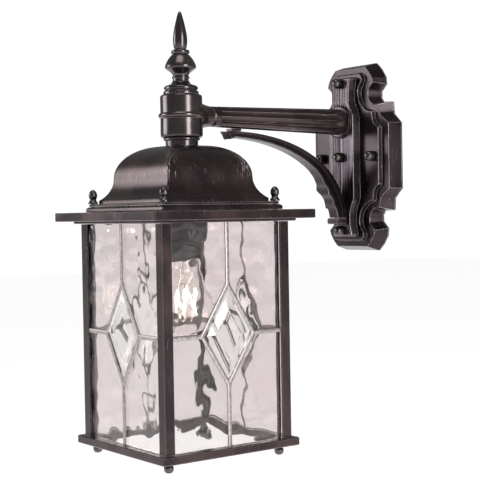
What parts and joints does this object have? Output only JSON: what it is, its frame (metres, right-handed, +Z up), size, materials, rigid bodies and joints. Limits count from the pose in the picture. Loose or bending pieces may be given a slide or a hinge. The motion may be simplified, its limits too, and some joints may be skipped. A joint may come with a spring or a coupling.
{
  "type": "outdoor wall lantern",
  "caption": "Square glazed lantern with an ogee roof, hung from a fluted bracket arm and curved brace on a stepped wall plate.",
  "frame": {"origin": "centre of the mounting bar's rear face, on the wall, in the middle of the backplate", "axes": "+Y points into the wall, the lantern projects towards -Y, +Z is up, +X is to the right for someone facing the wall"},
  "size_m": [0.19, 0.342, 0.4481],
  "materials": {
    "body_paint": "black-brown paint, satin, rubbed with silver along edges and down the roof",
    "arm_paint": "black-brown paint, satin, lightly rubbed along the flutes",
    "hub_paint": "black-brown paint with broad silver rub marks, semi-gloss",
    "plate_paint": "black-brown paint, satin, silver along the steps",
    "came_lead": "lead-grey strip, dull metallic",
    "ripple_glass": "clear rippled glass",
    "bevel_glass": "clear polished bevelled glass",
    "bulb_glass": "clear lamp glass",
    "fastener_steel": "dark plated steel",
    "zinc_steel": "zinc plated",
    "brass": "plain brass",
    "nickel": "nickel plated",
    "rubber": "matt black",
    "holder_plastic": "dark moulded phenolic",
    "terminal_plastic": "pale moulded"
  },
  "bodies": {
    "bracket": {"mounting_bar": "zinc_steel", "wall_gasket": "rubber", "backplate": "plate_paint", "bracket_panel": "plate_paint", "plate_screw_left": "fastener_steel", "plate_screw_right": "fastener_steel", "panel_bolt_top": "fastener_steel", "panel_bolt_middle": "fastener_steel", "panel_bolt_bottom": "fastener_steel", "terminal_block": "terminal_plastic", "earth_screw": "brass", "lead_grommet": "rubber", "internal_lead": "rubber", "arm_collar": "plate_paint", "arm_tube": "arm_paint", "brace": "arm_paint", "brace_spacer": "arm_paint", "brace_clip": "arm_paint", "hub_body": "hub_paint", "hub_cap": "hub_paint", "finial_stud": "zinc_steel", "finial": "hub_paint", "nipple_tube": "zinc_steel", "roof_shell": "body_paint", "roof_plinth": "body_paint", "eave_plate": "body_paint", "lampholder_body": "holder_plastic", "lampholder_shell": "brass", "lampholder_contact": "brass"},
    "cage": {"top_frame": "body_paint", "bottom_frame": "body_paint", "post_front_left": "body_paint", "post_front_right": "body_paint", "post_back_right": "body_paint", "post_back_left": "body_paint", "pane_front": "ripple_glass", "pane_right": "ripple_glass", "pane_back": "ripple_glass", "pane_left": "ripple_glass", "diamond_front": "bevel_glass", "diamond_right": "bevel_glass", "diamond_back": "bevel_glass", "diamond_left": "bevel_glass", "came_front": "came_lead", "came_right": "came_lead", "came_back": "came_lead", "came_left": "came_lead", "tie_bolt_front_left": "fastener_steel", "tie_bolt_front_right": "fastener_steel", "tie_bolt_back_right": "fastener_steel", "tie_bolt_back_left": "fastener_steel"},
    "bulb": {"bulb_cap": "nickel", "bulb_glass": "bulb_glass", "bulb_stem": "bulb_glass"},
    "nut_front_left": {"acorn_nut_front_left": "fastener_steel"},
    "nut_front_right": {"acorn_nut_front_right": "fastener_steel"},
    "nut_back_right": {"acorn_nut_back_right": "fastener_steel"},
    "nut_back_left": {"acorn_nut_back_left": "fastener_steel"}
  },
  "joints": [
    {"name": "cage_drop", "type": "slide", "parent": "bracket", "child": "cage", "axis": [0, 0, -1], "range_m": [0, 0.15]},
    {"name": "bulb_out", "type": "slide", "parent": "bracket", "child": "bulb", "axis": [0, 0, -1], "range_m": [0, 0.23]},
    {"name": "nut_front_left_lift", "type": "slide", "parent": "bracket", "child": "nut_front_left", "axis": [0, 0, 1], "range_m": [0, 0.016]},
    {"name": "nut_front_right_lift", "type": "slide", "parent": "bracket", "child": "nut_front_right", "axis": [0, 0, 1], "range_m": [0, 0.016]},
    {"name": "nut_back_right_lift", "type": "slide", "parent": "bracket", "child": "nut_back_right", "axis": [0, 0, 1], "range_m": [0, 0.016]},
    {"name": "nut_back_left_lift", "type": "slide", "parent": "bracket", "child": "nut_back_left", "axis": [0, 0, 1], "range_m": [0, 0.016]}
  ]
}
